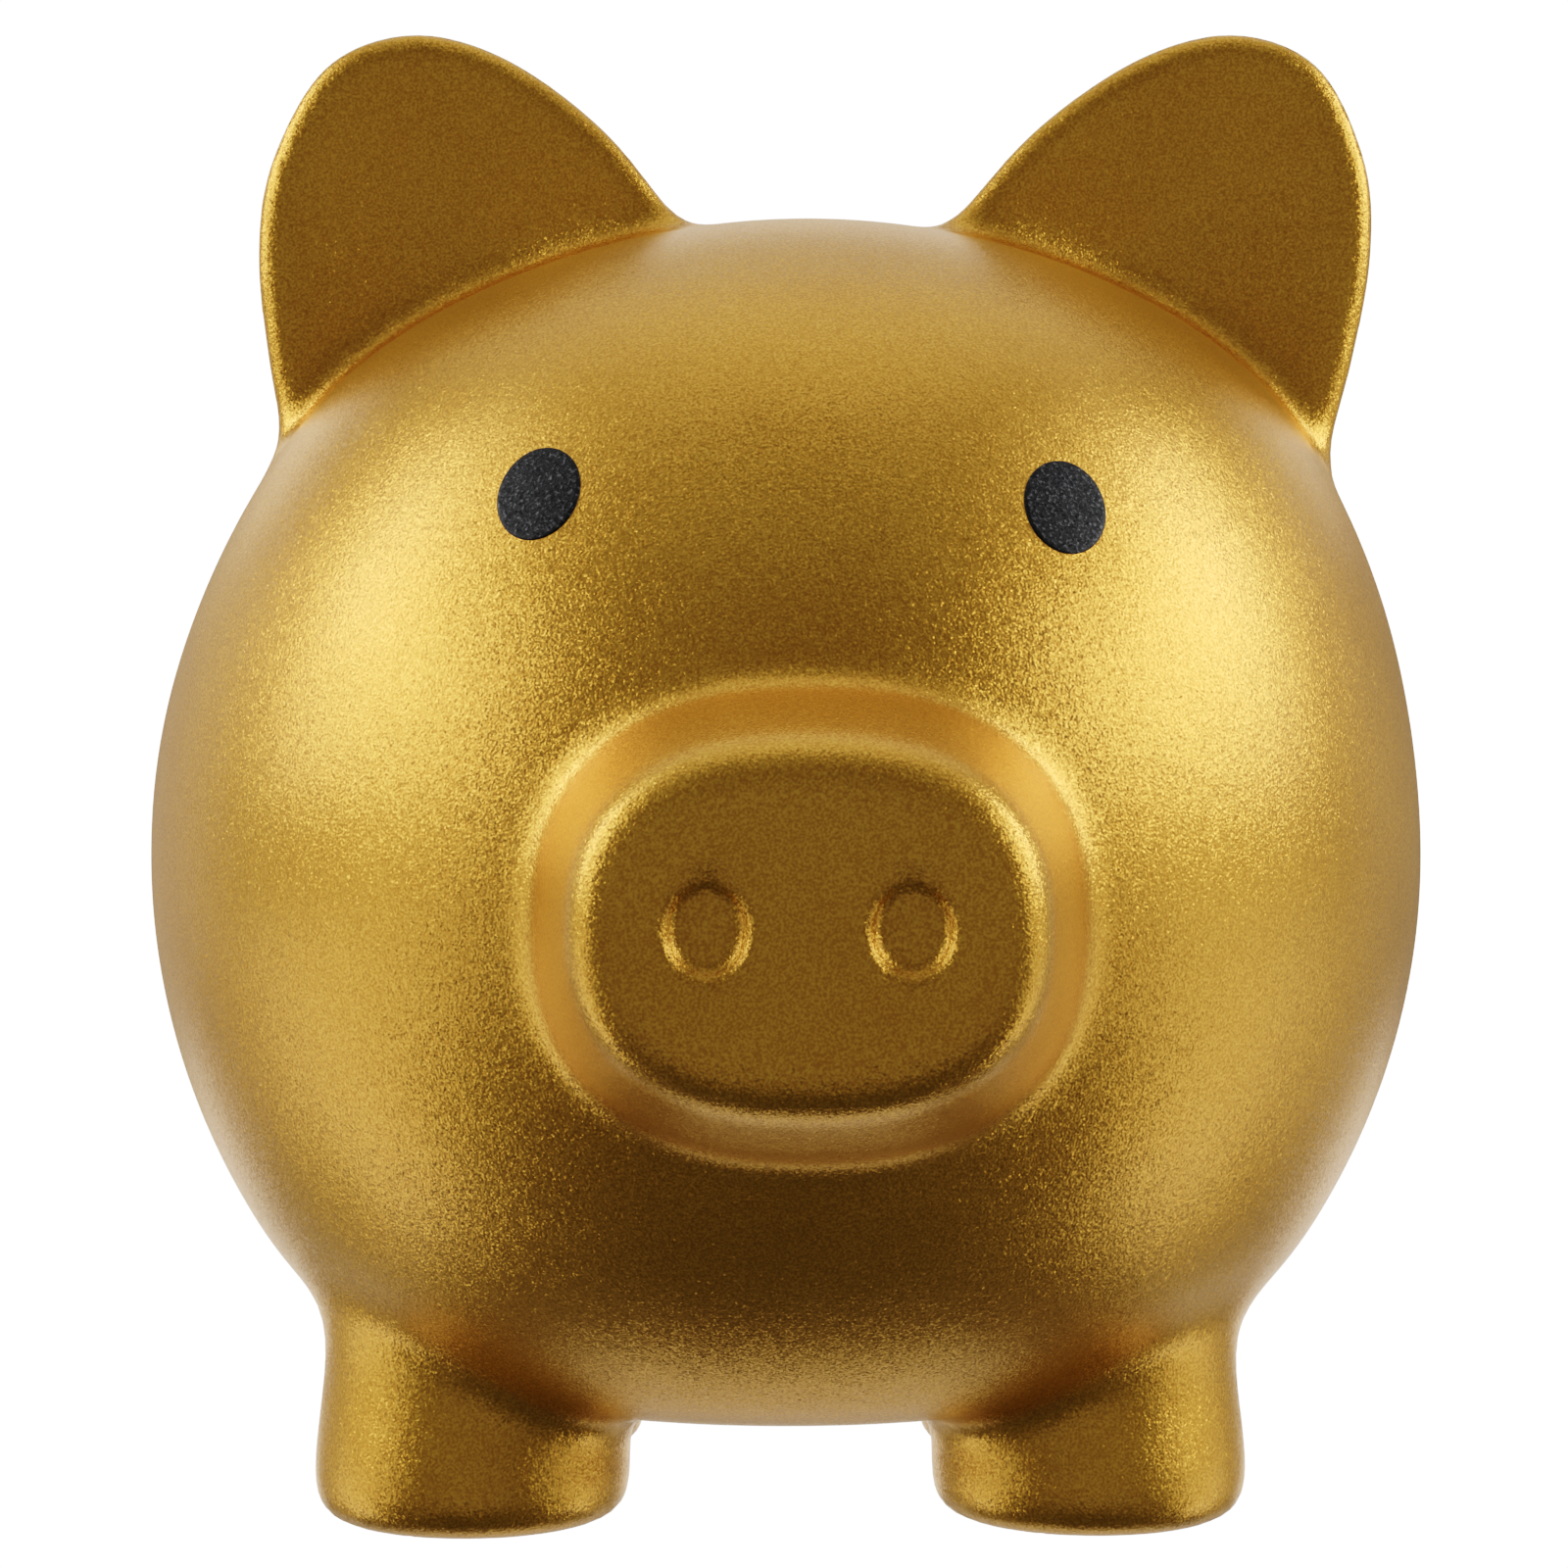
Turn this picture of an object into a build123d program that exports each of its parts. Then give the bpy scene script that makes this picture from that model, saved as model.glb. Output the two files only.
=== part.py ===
from build123d import *
import math
import os

# Ceramic piggy bank: a hollow round body on four stubby legs, with cupped ears, a snout,
# painted eyes, a curled tail, a coin slot in the back and a rubber plug in the belly.
# All dimensions are in millimetres.
# Frame: origin on the floor under the middle of the bank, +Z up, the pig looks along -Y.

# Body: a slightly squared ball, stretched fore and aft, with a flat belly. Its upright section
# is wide arcs at the sides, top and bottom, joined by tighter shoulder arcs. The half below the
# widest level is a little flatter than the half above it.
BODY_CENTRE_Y = 4.0
BODY_CENTRE_Z = 54.0
BODY_HALF_WIDTH = 53.7
BODY_HALF_LENGTH = 60.0
BODY_RISE = 53.7
BODY_DROP = 51.1
BODY_SIDE_RADIUS = 63.5
BODY_SIDE_ANGLE = 30.0
BELLY_Z = 9.2
WALL = 4.0
CUTTER_SIZE = 200.0

# Coin slot, along the spine behind the ears
SLOT_LENGTH = 36.0
SLOT_WIDTH = 5.2
SLOT_CORNER_RADIUS = 2.3
SLOT_CENTRE_Y = 28.0
SLOT_CUT_HEIGHT = 60.0

# Plug hole in the belly and the soft plug that closes it
HOLE_RADIUS = 14.5
PLUG_CLEARANCE = 0.05
PLUG_FLANGE_RADIUS = 16.2
PLUG_FLANGE_THICK = 1.4
PLUG_FLANGE_CHAMFER = 0.6
PLUG_SKIRT_TOP_Z = 15.2
PLUG_SKIRT_TAPER = 1.2
PLUG_CUP_RADIUS = 11.0
PLUG_CUP_FLOOR_Z = 10.0
PULL_LENGTH = 14.0
PULL_THICK = 3.2
PULL_BOTTOM_Z = 5.4
PULL_CORNER_RADIUS = 1.5
PULL_ROOT = 0.5

# Snout: flares from its oval face back to its root in the body
SNOUT_X = 1.4
SNOUT_Z = 50.4
SNOUT_FACE_Y = -69.0
SNOUT_FACE_HALF = (16.1, 12.5)
SNOUT_NECK_Y = -57.0
SNOUT_NECK_HALF = (18.4, 15.8)
SNOUT_ROOT_Y = -40.0
SNOUT_ROOT_HALF = (22.4, 19.8)
SNOUT_FULLNESS = 2.35
SNOUT_RIM_RADIUS = 3.2
NOSTRIL_SPACING = 13.9
NOSTRIL_MOUTH_HALF = (2.9, 3.35)
NOSTRIL_FLOOR_HALF = (2.4, 2.8)
NOSTRIL_DEPTH = 1.2

# Ears: rounded petals, cupped towards the front. Both stand a little to the pig's left and
# lean that way as they rise.
EAR_SHIFT_X = 2.3
EAR_LEAN = 0.04
EAR_FRONT_Y = -3.0
EAR_RIM_DEPTH = 2.4
EAR_DEPTH = 7.5
EAR_CUP_DEPTH = 4.5
EAR_MIDDLE = (31.0, 101.4)
EAR_BACK_SIZE = 0.8
EAR_CUP_MOUTH = 0.9
EAR_CUP_FLOOR = 0.66
EAR_EDGE = [
    (11.3, 107.2),
    (18.4, 115.4),
    (27.0, 121.4),
    (35.0, 123.3),
    (42.0, 120.5),
    (46.2, 112.7),
    (47.1, 104.9),
    (45.9, 95.9),
    (43.8, 86.9),
]
EAR_BASE = [(38.0, 78.4), (5.0, 98.4)]

# Legs: short cones with rounded feet. The front right one stands a little further back.
LEG_X = 25.1
LEG_SHIFT_X = -0.4
LEG_Y = 17.5
FRONT_RIGHT_SETBACK = 1.2
LEG_FOOT_RADIUS = 13.4
LEG_TOP_RADIUS = 10.0
LEG_TOP_Z = 30.0
FOOT_ROUNDING = 4.5

# Tail: a round curl standing off the rump
TAIL_Z = 62.0
TAIL_CURL_RADIUS = 4.6
TAIL_RADIUS = 1.7
TAIL_START_Y = 59.0
TAIL_END_Y = 67.3
TAIL_TURN = 4.4

# Eyes: painted ovals, each with its own height and lean
EYE_THICK = 0.2
LEFT_EYE = {"x": -18.2, "z": 81.4, "half": (2.8, 3.55), "lean": 29.0}
RIGHT_EYE = {"x": 20.5, "z": 80.4, "half": (2.75, 3.45), "lean": -19.0}

SIDES = {"left": -1, "right": 1}


def superellipse(half_x, half_y, fullness, steps=16):
    """Points round a squared oval."""
    points = []
    for step in range(steps):
        angle = 2 * math.pi * step / steps
        c, s = math.cos(angle), math.sin(angle)
        x = math.copysign(abs(c) ** (2 / fullness), c) * half_x
        y = math.copysign(abs(s) ** (2 / fullness), s) * half_y
        points.append((x, y))
    return points


def half_body(grow, height):
    """The body above its widest level, grown by a distance, at a height over that level."""
    radius = BODY_HALF_WIDTH + grow
    inset = BODY_SIDE_RADIUS - BODY_HALF_WIDTH
    cos_side = math.cos(math.radians(BODY_SIDE_ANGLE))
    sin_side = math.sin(math.radians(BODY_SIDE_ANGLE))
    step_in = inset / (cos_side - sin_side)
    shoulder = step_in * sin_side
    wide = BODY_SIDE_RADIUS + grow
    tight = wide - step_in
    outline = CenterArc((-inset, 0), wide, 0, BODY_SIDE_ANGLE)
    outline += CenterArc((shoulder, shoulder), tight, BODY_SIDE_ANGLE, 90 - 2 * BODY_SIDE_ANGLE)
    outline += CenterArc((0, -inset), wide, 90 - BODY_SIDE_ANGLE, BODY_SIDE_ANGLE)
    outline += Polyline((0, radius), (0, 0), (radius, 0))
    dome = revolve(Plane.XZ * make_face(outline), Axis.Z)
    return scale(dome, by=(1, (BODY_HALF_LENGTH + grow) / radius, (height + grow) / radius))


def body_solid(grow, belly_z):
    """The whole body grown by a distance all round, cut flat at belly_z."""
    ball = half_body(grow, BODY_RISE) + mirror(half_body(grow, BODY_DROP), Plane.XY)
    cutter = Box(CUTTER_SIZE, CUTTER_SIZE, CUTTER_SIZE, align=(Align.CENTER, Align.CENTER, Align.MAX))
    return Pos(0, BODY_CENTRE_Y, BODY_CENTRE_Z) * ball - Pos(0, 0, belly_z) * cutter


def make_body(outer):
    """The hollow shell with its coin slot and plug hole."""
    shell = outer - body_solid(-WALL, BELLY_Z + WALL)
    slot = Box(SLOT_WIDTH, SLOT_LENGTH, SLOT_CUT_HEIGHT)
    slot = fillet(slot.edges().filter_by(Axis.Z), SLOT_CORNER_RADIUS)
    slot = Pos(0, SLOT_CENTRE_Y, BODY_CENTRE_Z + BODY_RISE) * slot
    hole = Pos(0, BODY_CENTRE_Y, BELLY_Z) * Cylinder(HOLE_RADIUS, 4 * WALL)
    return shell - slot - hole


def make_snout(outer):
    """The snout block with its two nostrils, cut to sit on the body."""
    stations = [
        (SNOUT_ROOT_Y, SNOUT_ROOT_HALF),
        (SNOUT_NECK_Y, SNOUT_NECK_HALF),
        (SNOUT_FACE_Y, SNOUT_FACE_HALF),
    ]
    faces = []
    for y, half in stations:
        plane = Plane(origin=(SNOUT_X, y, SNOUT_Z), x_dir=(1, 0, 0), z_dir=(0, -1, 0))
        outline = Spline(*superellipse(*half, SNOUT_FULLNESS), periodic=True)
        faces.append(plane * make_face(outline))
    block = loft(faces)
    front_edge = block.edges().sort_by(Axis.Y)[0]
    block = fillet(front_edge, SNOUT_RIM_RADIUS)
    for side in SIDES.values():
        mouth = Plane(
            origin=(SNOUT_X + side * NOSTRIL_SPACING / 2, SNOUT_FACE_Y, SNOUT_Z),
            x_dir=(1, 0, 0),
            z_dir=(0, 1, 0),
        )
        floor = mouth.offset(NOSTRIL_DEPTH)
        pocket = loft([mouth * Ellipse(*NOSTRIL_MOUTH_HALF), floor * Ellipse(*NOSTRIL_FLOOR_HALF)])
        block = block - pocket
    return block - outer


def ear_section(side, size, depth):
    """The ear's outline, shrunk about its middle, at a depth behind the rim."""
    middle_x, middle_z = EAR_MIDDLE
    edge = []
    for x, z in EAR_EDGE + EAR_BASE:
        rise = size * (z - middle_z)
        edge.append((side * (middle_x + size * (x - middle_x)) + EAR_LEAN * rise, middle_z + rise))
    free, base = edge[: len(EAR_EDGE)], edge[len(EAR_EDGE) :]
    outline = make_face(Spline(*free) + Polyline(free[-1], *base, free[0]))
    plane = Plane(origin=(EAR_SHIFT_X, EAR_FRONT_Y + depth, 0), x_dir=(1, 0, 0), z_dir=(0, -1, 0))
    return plane * outline


def make_ear(side, outer):
    """One cupped ear, cut to sit on the head."""
    rim = loft([ear_section(side, 1.0, 0), ear_section(side, 1.0, EAR_RIM_DEPTH)])
    back = loft([ear_section(side, 1.0, EAR_RIM_DEPTH), ear_section(side, EAR_BACK_SIZE, EAR_DEPTH)])
    cup = loft([ear_section(side, EAR_CUP_MOUTH, 0), ear_section(side, EAR_CUP_FLOOR, EAR_CUP_DEPTH)])
    return rim + back - cup - outer


def make_leg(side, end, outer):
    """One leg; end is -1 for the front pair and 1 for the rear pair."""
    leg = Cone(LEG_FOOT_RADIUS, LEG_TOP_RADIUS, LEG_TOP_Z, align=(Align.CENTER, Align.CENTER, Align.MIN))
    leg = fillet(leg.edges().sort_by(Axis.Z)[0], FOOT_ROUNDING)
    setback = FRONT_RIGHT_SETBACK if (side, end) == (1, -1) else 0
    return Pos(side * LEG_X + LEG_SHIFT_X, BODY_CENTRE_Y + end * LEG_Y + setback, 0) * leg - outer


def make_tail(outer):
    """A round curl about a fore-and-aft axis, with a ball end."""
    height = TAIL_END_Y - TAIL_START_Y
    axis = Plane(origin=(0, TAIL_START_Y, TAIL_Z), x_dir=(1, 0, 0), z_dir=(0, 1, 0))
    path = axis * Helix(pitch=TAIL_TURN, height=height, radius=TAIL_CURL_RADIUS)
    start = Plane(origin=path @ 0, z_dir=path % 0)
    tube = sweep(start * Circle(TAIL_RADIUS), path=path, is_frenet=True)
    tip = Pos(*(path @ 1)) * Sphere(TAIL_RADIUS)
    return tube + tip - outer


def make_eye(eye, outer):
    """A thin painted oval lying on the face."""
    front = Plane(origin=(eye["x"], 0, eye["z"]), x_dir=(1, 0, 0), z_dir=(0, -1, 0))
    oval = front * Rot(0, 0, -eye["lean"]) * Ellipse(*eye["half"])
    prism = extrude(oval, BODY_HALF_LENGTH)
    return (body_solid(EYE_THICK, BELLY_Z) & prism) - outer


def make_stopper():
    """The belly plug: flange, tapered skirt and a finger pull."""
    neck_radius = HOLE_RADIUS - PLUG_CLEARANCE
    flange_top = BELLY_Z - PLUG_CLEARANCE
    flange_bottom = flange_top - PLUG_FLANGE_THICK
    wall_top = BELLY_Z + WALL
    with BuildSketch(Plane.XZ) as profile:
        with BuildLine():
            Polyline(
                (0, flange_bottom),
                (PLUG_FLANGE_RADIUS - PLUG_FLANGE_CHAMFER, flange_bottom),
                (PLUG_FLANGE_RADIUS, flange_bottom + PLUG_FLANGE_CHAMFER),
                (PLUG_FLANGE_RADIUS, flange_top),
                (neck_radius, flange_top),
                (neck_radius, wall_top),
                (neck_radius - PLUG_SKIRT_TAPER, PLUG_SKIRT_TOP_Z),
                (PLUG_CUP_RADIUS, PLUG_SKIRT_TOP_Z),
                (PLUG_CUP_RADIUS, PLUG_CUP_FLOOR_Z),
                (0, PLUG_CUP_FLOOR_Z),
                close=True,
            )
        make_face()
    plug = revolve(profile.sketch, Axis.Z)
    pull_height = flange_bottom - PULL_BOTTOM_Z + PULL_ROOT
    pull = Box(PULL_LENGTH, PULL_THICK, pull_height, align=(Align.CENTER, Align.CENTER, Align.MIN))
    pull = fillet(pull.edges().filter_by(Axis.Y).sort_by(Axis.Z)[:2], PULL_CORNER_RADIUS)
    plug = plug + Pos(0, 0, PULL_BOTTOM_Z) * pull
    return Pos(0, BODY_CENTRE_Y, 0) * plug


os.makedirs("parts", exist_ok=True)
outer = body_solid(0, BELLY_Z)
nodes = {
    "body_shell": make_body(outer),
    "snout": make_snout(outer),
    "tail": make_tail(outer),
    "left_eye": make_eye(LEFT_EYE, outer),
    "right_eye": make_eye(RIGHT_EYE, outer),
    "stopper": make_stopper(),
}
for name, side in SIDES.items():
    nodes[name + "_ear"] = make_ear(side, outer)
    nodes["front_" + name + "_leg"] = make_leg(side, -1, outer)
    nodes["rear_" + name + "_leg"] = make_leg(side, 1, outer)

for name, shape in nodes.items():
    export_step(shape, "parts/" + name + ".step")
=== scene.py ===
import math
import bpy
import bmesh
import numpy as np
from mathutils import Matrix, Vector


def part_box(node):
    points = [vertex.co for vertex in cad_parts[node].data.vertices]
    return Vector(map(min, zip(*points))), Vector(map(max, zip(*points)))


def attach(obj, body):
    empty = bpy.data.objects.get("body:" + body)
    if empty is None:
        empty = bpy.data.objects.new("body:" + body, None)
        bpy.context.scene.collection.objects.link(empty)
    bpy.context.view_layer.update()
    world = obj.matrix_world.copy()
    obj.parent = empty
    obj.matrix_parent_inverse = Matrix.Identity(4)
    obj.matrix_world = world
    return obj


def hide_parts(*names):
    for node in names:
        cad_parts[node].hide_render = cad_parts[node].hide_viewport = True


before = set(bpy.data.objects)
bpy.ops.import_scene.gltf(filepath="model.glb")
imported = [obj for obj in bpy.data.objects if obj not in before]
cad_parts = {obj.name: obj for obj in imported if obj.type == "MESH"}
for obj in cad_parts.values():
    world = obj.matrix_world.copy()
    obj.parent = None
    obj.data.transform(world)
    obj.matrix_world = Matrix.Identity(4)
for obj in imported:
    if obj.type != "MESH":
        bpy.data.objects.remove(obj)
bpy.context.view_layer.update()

# The pig's skin is worked out as one smooth distance field in millimetres, meshed, and then
# turned into metres. Places and sizes come from the CAD nodes' boxes where a node has them.
MM = 0.001
FAR = 50.0


def box_mm(node):
    """Lowest and highest corner of a CAD node in millimetres."""
    low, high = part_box(node)
    return np.array(low) / MM, np.array(high) / MM


def middle_mm(node):
    """Middle of a CAD node's box in millimetres."""
    low, high = box_mm(node)
    return (low + high) / 2


SHELL_LOW, SHELL_HIGH = box_mm("body_shell")
BODY_HALF = (SHELL_HIGH - SHELL_LOW) / 2
BODY_CENTRE = np.array([0.0, (SHELL_LOW[1] + SHELL_HIGH[1]) / 2, SHELL_HIGH[2] - BODY_HALF[0]])
BELLY_Z = SHELL_LOW[2]
BELLY_ROUNDING = 4.0
# How far the lower half would reach below the middle if the belly weren't cut flat
BODY_DROP = 51.1
# The body's upright section has wide arcs at its sides and its top, of this radius and half angle
SIDE_RADIUS = 63.5
SIDE_ANGLE = math.radians(30.0)
WALL = 4.0

# The upper half leans a little towards +X, the right in the photo
LEAN_START_Z = 57.5
LEAN_RAMP = 12.9
LEAN_SLOPE = 0.041

SNOUT_LOW, SNOUT_HIGH = box_mm("snout")
SNOUT_X = (SNOUT_LOW[0] + SNOUT_HIGH[0]) / 2
SNOUT_Z = (SNOUT_LOW[2] + SNOUT_HIGH[2]) / 2
SNOUT_FACE_Y = SNOUT_LOW[1]
# Depths behind the snout's face, and its half width and half height at each
SNOUT_STATIONS = (0.0, 12.0, 29.0)
SNOUT_HALF_X = (16.2, 18.7, 22.4)
SNOUT_HALF_Z = (12.6, 16.2, 19.9)
SNOUT_FULLNESS = 2.35
SNOUT_RIM = 5.4
SNOUT_ROOT_BLEND = 2.3

NOSTRIL_SPACING = 13.9
NOSTRIL_MOUTH = (2.95, 3.4)
NOSTRIL_FLOOR = (2.4, 2.8)
NOSTRIL_DEPTH = 1.0
NOSTRIL_FULLNESS = 2.0
NOSTRIL_SOFTNESS = 0.8
# The nostril's taper goes on in front of the face for this share of its depth
NOSTRIL_FLARE = 0.5
# A soft dent in the face above each nostril
BROW_DENT = 0.45
BROW_DENT_RISE = 3.3
BROW_DENT_WIDTH = (2.3, 1.1)

# The ears' own middle: how far it is along +X at one height, and how far it leans per mm upwards
EAR_SHIFT = 2.3
EAR_LEAN = 0.04
EAR_MIDDLE_Z = 101.4
EAR_FRONT_Y = box_mm("left_ear")[0][1]
# The ear from the front, across and up: a curve through the free points, then the root in the head
EAR_OUTLINE = [
    (11.3, 107.2),
    (18.4, 115.4),
    (27.0, 121.4),
    (35.0, 123.3),
    (42.0, 120.5),
    (46.2, 112.7),
    (47.1, 104.9),
    (45.9, 95.9),
    (43.8, 86.9),
    (38.0, 78.4),
    (5.0, 98.4),
]
EAR_FREE_POINTS = 9
EAR_THICK = 3.4
EAR_CUP = 2.4
EAR_CUP_WIDTH = 15.0
# The cup slopes, so a distance along Y reads a little long
EAR_SLOPE_SHARE = 0.93
EAR_RIM = 3.0
EAR_BLEND = 4.0

LEG_NODES = ("front_left_leg", "front_right_leg", "rear_left_leg", "rear_right_leg")
LEG_TOP_Z = 30.0
LEG_TAPER = 3.4 / 30.0
FOOT_RADIUS = 13.4
FOOT_ROUNDING = 8.0
LEG_BLEND = 6.0

TAIL_CENTRE = (0.0, 62.0)
TAIL_CURL = 4.6
TAIL_RADIUS = 1.7
TAIL_START_Y = 59.0
TAIL_END_Y = 67.3
TAIL_TURN = 4.4
TAIL_POINTS = 70
TAIL_BLEND = 1.6

SLOT_HALF_WIDTH = 2.6
SLOT_HALF_LENGTH = 18.0
SLOT_CENTRE_Y = 28.0
SLOT_RISE = 10.0
HOLE_RADIUS = 14.5
EDGE_SOFTNESS = 1.1
HOLE_SOFTNESS = 2.2

# Boxes that hold each feature with its blend to spare, outside which it isn't worked out
SNOUT_REGION = ((-30, SNOUT_FACE_Y - 5, 20), (32, -30, 80))
NOSTRIL_REGION = ((-14, SNOUT_FACE_Y - 5, 38), (16, -60, 62))
EAR_REGION = ((-56, -12, 72), (56, 20, 130))
TAIL_REGION = ((-10, 55, 50), (10, 75, 75))
LEG_REACH = 20
LEG_REGION_Z = (-10, 40)


# ---------------------------------------------------------------- distance field

def smooth_min(a, b, width):
    """The smaller of two distances, with the corner between them filled."""
    h = np.clip(width - np.abs(a - b), 0, None) / width
    return np.minimum(a, b) - h ** 3 * width / 6


def smooth_max(a, b, width):
    """The larger of two distances, with the corner between them rounded."""
    return -smooth_min(-a, -b, width)


def only_near(p, region, measure):
    """measure(points) inside a box, and FAR outside it, to save work."""
    low, high = region
    inside = np.all((p >= low) & (p <= high), axis=1)
    found = np.full(len(p), FAR)
    if inside.any():
        found[inside] = measure(p[inside])
    return found


def lean(z):
    """How far the body's middle has moved along +X at a height."""
    up = np.clip(z - LEAN_START_Z, 0, None)
    ramp = np.minimum(up, LEAN_RAMP)
    return LEAN_SLOPE * (ramp ** 2 / (2 * LEAN_RAMP) + up - ramp)


def round_section(r, z, grow):
    """Distance to the body's upright section: wide arcs joined by tighter shoulder arcs."""
    inset = SIDE_RADIUS - BODY_HALF[0]
    step = inset / (math.cos(SIDE_ANGLE) - math.sin(SIDE_ANGLE))
    shoulder = step * math.sin(SIDE_ANGLE)
    side = np.hypot(r + inset, z) - SIDE_RADIUS
    top = np.hypot(r, z + inset) - SIDE_RADIUS
    corner = np.hypot(r - shoulder, z - shoulder) - (SIDE_RADIUS - step)
    on_side = np.arctan2(z, r + inset) < SIDE_ANGLE
    on_top = np.arctan2(r, z + inset) < SIDE_ANGLE
    return np.where(on_side, side, np.where(on_top, top, corner)) - grow


def body_distance(p, grow=0.0, belly=BELLY_Z):
    """The round body, grown by some millimetres and cut flat at the belly's height."""
    x = p[:, 0] - lean(p[:, 2])
    y = (p[:, 1] - BODY_CENTRE[1]) * (BODY_HALF[0] + grow) / (BODY_HALF[1] + grow)
    up = p[:, 2] - BODY_CENTRE[2]
    z = np.where(up > 0, up, -up * (BODY_HALF[0] + grow) / (BODY_DROP + grow))
    return smooth_max(round_section(np.hypot(x, y), z, grow), belly - p[:, 2], BELLY_ROUNDING)


def oval_distance(x, z, half_x, half_z, fullness):
    """Distance to a squared oval, measured along the ray from its middle."""
    reach = ((np.abs(x) / half_x) ** fullness + (np.abs(z) / half_z) ** fullness) ** (1 / fullness)
    away = np.hypot(x, z)
    return away - away / np.maximum(reach, 1e-6)


def snout_distance(p):
    """A squared oval block that widens towards the body, with its face dented over the nostrils."""
    depth = p[:, 1] - SNOUT_FACE_Y
    half_x = np.interp(depth, SNOUT_STATIONS, SNOUT_HALF_X)
    half_z = np.interp(depth, SNOUT_STATIONS, SNOUT_HALF_Z)
    side = oval_distance(p[:, 0] - SNOUT_X, p[:, 2] - SNOUT_Z, half_x, half_z, SNOUT_FULLNESS)
    across = (np.abs(p[:, 0] - SNOUT_X) - NOSTRIL_SPACING / 2) / BROW_DENT_WIDTH[0]
    above = (p[:, 2] - SNOUT_Z - BROW_DENT_RISE) / BROW_DENT_WIDTH[1]
    dent = BROW_DENT * np.exp(-(across ** 2) - above ** 2)
    block = smooth_max(side, dent - depth, SNOUT_RIM)
    return smooth_max(block, depth - SNOUT_STATIONS[-1], SNOUT_RIM)


def nostril_distance(p):
    """Both nostrils at once: shallow oval dishes that narrow towards their floor."""
    depth = p[:, 1] - SNOUT_FACE_Y
    share = np.clip(depth / NOSTRIL_DEPTH, -NOSTRIL_FLARE, 1)
    half_x = NOSTRIL_MOUTH[0] + (NOSTRIL_FLOOR[0] - NOSTRIL_MOUTH[0]) * share
    half_z = NOSTRIL_MOUTH[1] + (NOSTRIL_FLOOR[1] - NOSTRIL_MOUTH[1]) * share
    x = np.abs(p[:, 0] - SNOUT_X) - NOSTRIL_SPACING / 2
    side = oval_distance(x, p[:, 2] - SNOUT_Z, half_x, half_z, NOSTRIL_FULLNESS)
    return smooth_max(side, depth - NOSTRIL_DEPTH, NOSTRIL_SOFTNESS)


def smooth_outline(points, free, steps=10):
    """A Catmull-Rom curve through the first free points, then straight lines through the rest."""
    pts = [np.array(q) for q in points]
    padded = [2 * pts[0] - pts[1]] + pts[:free] + [2 * pts[free - 1] - pts[free - 2]]
    curve = []
    for i in range(free - 1):
        a, b, c, d = padded[i : i + 4]
        square = 2 * a - 5 * b + 4 * c - d
        cube = 3 * b - a - 3 * c + d
        for t in np.arange(steps) / steps:
            curve.append(0.5 * (2 * b + (c - a) * t + square * t ** 2 + cube * t ** 3))
    return np.array(curve + pts[free - 1 :])


def outline_distance(outline, x, z):
    """Signed distance to a closed outline, negative inside."""
    start, end = outline, np.roll(outline, -1, axis=0)
    nearest = np.full(len(x), FAR)
    inside = np.zeros(len(x), bool)
    for (ax, az), (bx, bz) in zip(start, end):
        dx, dz = bx - ax, bz - az
        t = np.clip(((x - ax) * dx + (z - az) * dz) / (dx * dx + dz * dz), 0, 1)
        nearest = np.minimum(nearest, np.hypot(x - ax - t * dx, z - az - t * dz))
        if az != bz:
            crosses = ((az > z) != (bz > z)) & (x < ax + (z - az) * dx / dz)
            inside ^= crosses
    return np.where(inside, -nearest, nearest)


class EarMap:
    """The ear outline's distance, stored on a fine sheet so that it is quick to read back."""

    STEP = 0.25
    MARGIN = 8

    def __init__(self):
        outline = smooth_outline(EAR_OUTLINE, EAR_FREE_POINTS)
        self.low = outline.min(0) - self.MARGIN
        count = np.ceil((outline.max(0) + self.MARGIN - self.low) / self.STEP).astype(int) + 2
        grid_x = self.low[0] + self.STEP * np.arange(count[0])
        grid_z = self.low[1] + self.STEP * np.arange(count[1])
        x, z = np.meshgrid(grid_x, grid_z, indexing="ij")
        self.sheet = outline_distance(outline, x.ravel(), z.ravel()).reshape(count)

    def read(self, x, z):
        """The distance at any place, blended from the four stored values round it."""
        last = np.array(self.sheet.shape) - 2.001        # a hair inside the last cell
        u = np.clip((x - self.low[0]) / self.STEP, 0, last[0])
        v = np.clip((z - self.low[1]) / self.STEP, 0, last[1])
        i, j = u.astype(int), v.astype(int)
        s, t = u - i, v - j
        near = self.sheet[i, j] * (1 - t) + self.sheet[i, j + 1] * t
        far = self.sheet[i + 1, j] * (1 - t) + self.sheet[i + 1, j + 1] * t
        return near * (1 - s) + far * s


EAR_MAP = EarMap()


def ear_distance(p):
    """Both ears at once: a cupped sheet with a rounded rim, mirrored about the ears' own middle."""
    across = p[:, 0] - EAR_SHIFT - EAR_LEAN * (p[:, 2] - EAR_MIDDLE_Z)
    edge = EAR_MAP.read(np.abs(across), p[:, 2])
    share = np.clip(-edge / EAR_CUP_WIDTH, 0, 1)
    cup = EAR_CUP * share * share * (3 - 2 * share)
    sheet = np.abs(p[:, 1] - EAR_FRONT_Y - EAR_THICK / 2 - cup) - EAR_THICK / 2
    return smooth_max(sheet * EAR_SLOPE_SHARE, edge, EAR_RIM)


def leg_distance(p, centre):
    """A round leg that narrows upwards, rounded at the foot and inside the body."""
    radius = FOOT_RADIUS - LEG_TAPER * p[:, 2]
    side = np.hypot(p[:, 0] - centre[0], p[:, 1] - centre[1]) - radius
    foot = smooth_max(side, -p[:, 2], FOOT_ROUNDING)
    return smooth_max(foot, p[:, 2] - LEG_TOP_Z, FOOT_ROUNDING)


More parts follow.
